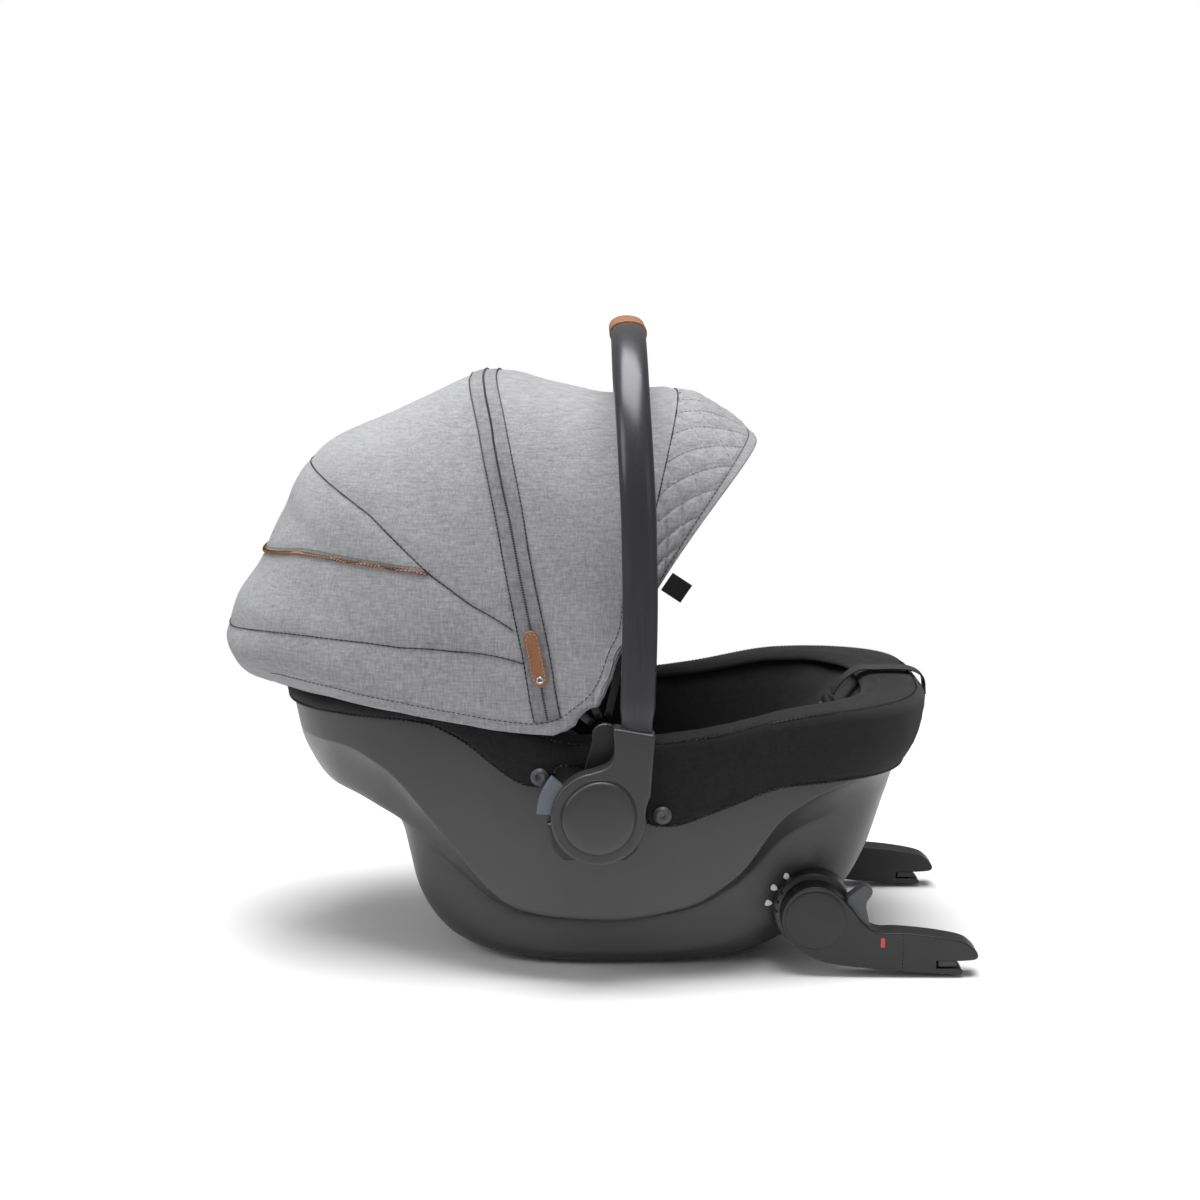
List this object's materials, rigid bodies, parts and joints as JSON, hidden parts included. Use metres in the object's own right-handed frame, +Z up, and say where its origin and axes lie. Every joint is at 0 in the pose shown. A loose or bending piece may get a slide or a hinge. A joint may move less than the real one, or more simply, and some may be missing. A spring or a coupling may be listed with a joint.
{
  "type": "infant car seat",
  "caption": "Rear-facing infant carrier seat with folding sun canopy, swinging carry handle, harness and swinging rigid anchor arms.",
  "frame": {"origin": "centre of the flat stretch under the rocker bottom, on the floor plane", "axes": "+X towards the occupant's feet (anchor arms), +Y to the occupant's left, +Z up"},
  "size_m": [0.6724, 0.4446, 0.5744],
  "materials": {
    "shell_plastic": "satin",
    "black_plastic": "satin",
    "grey_plastic": "satin",
    "button_plastic": "satin",
    "red_plastic": "gloss",
    "foam": "matte",
    "knit": "matte",
    "soft_knit": "matte",
    "webbing": "matte",
    "canopy_fabric": "matte",
    "canopy_band": "matte",
    "handle_metal": "satin",
    "leather": "satin",
    "steel": "satin"
  },
  "bodies": {
    "carrier": {"shell": "shell_plastic", "foam_liner": "foam", "seat_pad": "knit", "infant_insert": "soft_knit", "seat_cover": "knit", "buckle_body": "black_plastic", "crotch_strap": "webbing", "adjuster_housing": "black_plastic", "adjuster_strap": "webbing", "bow_rear": "black_plastic", "canopy_rear": "canopy_fabric", "cover_snap_rear_r": "grey_plastic", "cover_snap_rear_l": "grey_plastic", "cover_snap_front_r": "grey_plastic", "cover_snap_front_l": "grey_plastic", "shoulder_strap_r": "webbing", "shoulder_strap_l": "webbing", "shoulder_pad_r": "soft_knit", "shoulder_pad_l": "soft_knit", "buckle_tongue_r": "steel", "buckle_tongue_l": "steel", "handle_pivot_r": "steel", "handle_pivot_l": "steel", "adapter_socket_r": "black_plastic", "adapter_socket_l": "black_plastic", "canopy_mount_r": "black_plastic", "canopy_mount_l": "black_plastic", "isofix_pivot_r": "steel", "isofix_pivot_l": "steel"},
    "head_support": {"headrest": "soft_knit"},
    "buckle_release": {"buckle_button": "red_plastic"},
    "adjuster_release": {"adjuster_button": "grey_plastic"},
    "handle": {"handle_tube": "handle_metal", "handle_grip": "leather", "handle_hub_r": "shell_plastic", "handle_hub_l": "shell_plastic", "hub_cap_r": "shell_plastic", "hub_cap_l": "shell_plastic"},
    "handle_release_r": {"handle_button_r": "button_plastic"},
    "handle_release_l": {"handle_button_l": "button_plastic"},
    "canopy_front_part": {"bow_front": "black_plastic", "canopy_front": "canopy_fabric", "canopy_visor": "canopy_fabric", "edge_tag": "black_plastic"},
    "canopy_mid_part": {"bow_mid": "canopy_band", "canopy_mid": "canopy_fabric", "zip_pull": "leather"},
    "isofix_r": {"isofix_arm_r": "black_plastic", "isofix_indicator_r": "red_plastic"},
    "isofix_l": {"isofix_arm_l": "black_plastic", "isofix_indicator_l": "red_plastic"},
    "isofix_release_r": {"isofix_lever_r": "grey_plastic"},
    "isofix_release_l": {"isofix_lever_l": "grey_plastic"},
    "isofix_jaw_r": {"isofix_latch_r": "black_plastic"},
    "isofix_jaw_l": {"isofix_latch_l": "black_plastic"}
  },
  "joints": [
    {"name": "handle_swing", "type": "hinge", "parent": "carrier", "child": "handle", "pos_m": [-0.0335, 0, 0.162], "axis": [0, 1, 0], "range_deg": [-112, 0]},
    {"name": "handle_button_press_r", "type": "slide", "parent": "handle", "child": "handle_release_r", "axis": [0.9272, 0, -0.3746], "range_m": [0, 0.005], "stiffness_N_per_m": 800},
    {"name": "handle_button_press_l", "type": "slide", "parent": "handle", "child": "handle_release_l", "axis": [0.9272, 0, -0.3746], "range_m": [0, 0.005], "stiffness_N_per_m": 800},
    {"name": "canopy_fold", "type": "hinge", "parent": "carrier", "child": "canopy_front_part", "pos_m": [-0.028, 0, 0.228], "axis": [0, 1, 0], "range_deg": [-51, 0]},
    {"name": "canopy_mid_fold", "type": "hinge", "parent": "carrier", "child": "canopy_mid_part", "pos_m": [-0.028, 0, 0.228], "axis": [0, 1, 0], "range_deg": [-25.5, 0]},
    {"name": "headrest_slide", "type": "slide", "parent": "carrier", "child": "head_support", "axis": [-0.809, 0, 0.5878], "range_m": [0, 0.03]},
    {"name": "buckle_button_press", "type": "slide", "parent": "carrier", "child": "buckle_release", "axis": [-0.4695, 0, -0.8829], "range_m": [0, 0.0015], "stiffness_N_per_m": 900},
    {"name": "adjuster_button_press", "type": "slide", "parent": "carrier", "child": "adjuster_release", "axis": [0.9135, 0, -0.4067], "range_m": [0, 0.0015], "stiffness_N_per_m": 900},
    {"name": "isofix_swing_r", "type": "hinge", "parent": "carrier", "child": "isofix_r", "pos_m": [0.1583, 0, 0.0529], "axis": [0, 1, 0], "range_deg": [0, 155]},
    {"name": "isofix_swing_l", "type": "hinge", "parent": "carrier", "child": "isofix_l", "pos_m": [0.1583, 0, 0.0529], "axis": [0, 1, 0], "range_deg": [0, 155]},
    {"name": "isofix_lever_lift_r", "type": "slide", "parent": "isofix_r", "child": "isofix_release_r", "axis": [0, 0, 1], "range_m": [0, 0.004], "stiffness_N_per_m": 800},
    {"name": "isofix_lever_lift_l", "type": "slide", "parent": "isofix_l", "child": "isofix_release_l", "axis": [0, 0, 1], "range_m": [0, 0.004], "stiffness_N_per_m": 800},
    {"name": "isofix_latch_slide_r", "type": "slide", "parent": "isofix_r", "child": "isofix_jaw_r", "axis": [-1, 0, 0], "range_m": [0, 0.004], "stiffness_N_per_m": 800},
    {"name": "isofix_latch_slide_l", "type": "slide", "parent": "isofix_l", "child": "isofix_jaw_l", "axis": [-1, 0, 0], "range_m": [0, 0.004], "stiffness_N_per_m": 800}
  ],
  "couplings": [
    {"joint": "canopy_mid_fold", "follows": "canopy_fold", "ratio": 0.5},
    {"joint": "isofix_swing_l", "follows": "isofix_swing_r", "ratio": 1},
    {"joint": "isofix_latch_slide_r", "follows": "isofix_lever_lift_r", "ratio": 1},
    {"joint": "isofix_latch_slide_l", "follows": "isofix_lever_lift_l", "ratio": 1}
  ]
}
